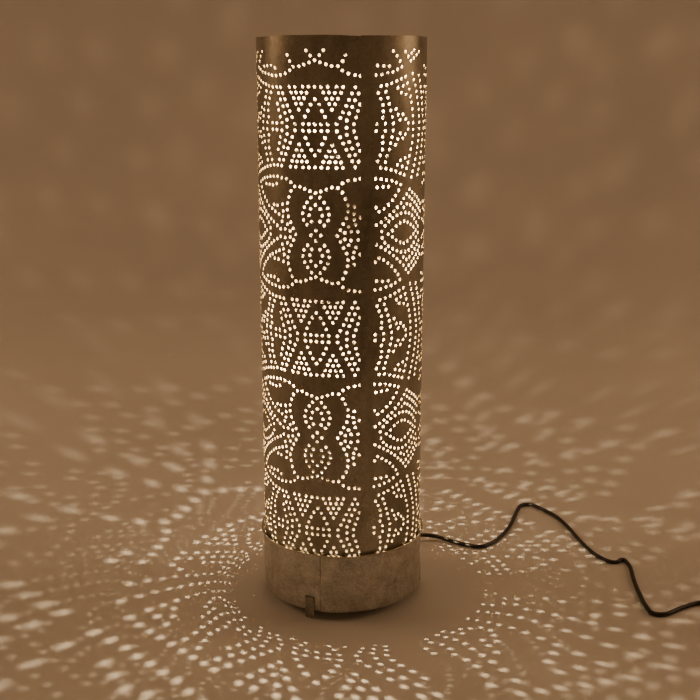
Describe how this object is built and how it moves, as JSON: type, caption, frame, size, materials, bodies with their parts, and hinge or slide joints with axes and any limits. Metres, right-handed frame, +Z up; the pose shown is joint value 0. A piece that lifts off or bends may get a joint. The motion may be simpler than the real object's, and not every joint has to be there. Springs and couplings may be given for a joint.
{
  "type": "table lantern",
  "caption": "Tall perforated sheet-metal table lantern on a low drum with strap feet, with lift-off shade, screw-in candle bulbs and a corded rocker switch.",
  "frame": {"origin": "on the floor, under the middle of the overall box of lantern, cord, switch and plug; the lantern's own axis stands at x = -0.1695 m, y = -0.0137 m", "axes": "+Z up along the shade's axis; -Y is the front; +X is the viewer's right; the two bulbs stand on a line parallel to X through the lantern's axis"},
  "size_m": [0.4963, 0.385, 0.52],
  "materials": {
    "plated_sheet": "silver-plated sheet, hand sanded, slightly tarnished",
    "plated_strap": "silver-plated strap, satin",
    "zinc_steel": "bright zinc plate",
    "brass": "bright brass",
    "nickel": "nickel plate",
    "tungsten": "drawn wire, glows when lit",
    "bulb_glass": "clear glass",
    "black_plastic": "moulded, semi-gloss",
    "white_plastic": "moulded, matt",
    "black_rubber": "smooth flexible jacket",
    "core_insulation": "smooth wire insulation"
  },
  "bodies": {
    "base": {"base_drum": "plated_sheet", "foot_front": "plated_strap", "foot_right": "plated_strap", "foot_rear": "plated_strap", "deck_plate": "zinc_steel", "bottom_cover": "zinc_steel", "cover_spacers": "zinc_steel", "cover_screws": "zinc_steel", "cover_nuts": "zinc_steel", "stem_tall": "zinc_steel", "stem_short": "zinc_steel", "stem_nuts": "zinc_steel", "stem_washers": "zinc_steel", "terminal_block": "white_plastic", "terminal_sleeves": "brass", "terminal_screws": "zinc_steel", "block_screw": "zinc_steel", "cord_clamp_base": "white_plastic", "cord_clamp_bar": "white_plastic", "cord_clamp_screws": "zinc_steel", "cable_grommet": "black_rubber", "mains_cord": "black_rubber", "plug_cord": "black_rubber", "cord_cores": "core_insulation", "switch_base": "black_plastic", "switch_cover": "black_plastic", "switch_screws": "zinc_steel", "switch_contacts": "brass", "plug_body": "black_plastic", "plug_pins": "nickel", "upper_holder_cap": "black_plastic", "upper_holder_skirt": "black_plastic", "upper_holder_block": "white_plastic", "upper_holder_thread": "brass", "upper_holder_contact": "brass", "upper_lamp_wires": "core_insulation", "lower_holder_cap": "black_plastic", "lower_holder_skirt": "black_plastic", "lower_holder_block": "white_plastic", "lower_holder_thread": "brass", "lower_holder_contact": "brass", "lower_lamp_wires": "core_insulation"},
    "shade": {"shade": "plated_sheet"},
    "upper_bulb_tip": {"upper_bulb_tip": "brass"},
    "upper_bulb": {"upper_bulb_glass": "bulb_glass", "upper_bulb_cap": "nickel", "upper_bulb_insulator": "black_plastic", "upper_bulb_mount": "bulb_glass", "upper_bulb_leads": "nickel", "upper_bulb_filament": "tungsten"},
    "lower_bulb_tip": {"lower_bulb_tip": "brass"},
    "lower_bulb": {"lower_bulb_glass": "bulb_glass", "lower_bulb_cap": "nickel", "lower_bulb_insulator": "black_plastic", "lower_bulb_mount": "bulb_glass", "lower_bulb_leads": "nickel", "lower_bulb_filament": "tungsten"},
    "rocker": {"switch_rocker": "black_plastic", "switch_bridge": "brass"}
  },
  "joints": [
    {"name": "shade_lift", "type": "slide", "parent": "base", "child": "shade", "axis": [0, 0, 1], "range_m": [0, 0.45]},
    {"name": "upper_bulb_travel", "type": "slide", "parent": "base", "child": "upper_bulb_tip", "axis": [0, 0, 1], "range_m": [0, 0.01269]},
    {"name": "upper_bulb_turn", "type": "hinge", "parent": "upper_bulb_tip", "child": "upper_bulb", "pos_m": [-0.153, -0.0137, 0.376], "axis": [0, 0, 1], "range_deg": [0, 1620]},
    {"name": "lower_bulb_travel", "type": "slide", "parent": "base", "child": "lower_bulb_tip", "axis": [0, 0, 1], "range_m": [0, 0.01269]},
    {"name": "lower_bulb_turn", "type": "hinge", "parent": "lower_bulb_tip", "child": "lower_bulb", "pos_m": [-0.1915, -0.0137, 0.131], "axis": [0, 0, 1], "range_deg": [0, 1620]},
    {"name": "switch_rocker_tilt", "type": "hinge", "parent": "base", "child": "rocker", "pos_m": [0.1925, -0.1267, 0.013], "axis": [-1, 0, 0], "range_deg": [0, 16]}
  ],
  "couplings": [
    {"joint": "upper_bulb_turn", "follows": "upper_bulb_travel", "rad_per_m": 2228.1},
    {"joint": "lower_bulb_turn", "follows": "lower_bulb_travel", "rad_per_m": 2228.1}
  ]
}
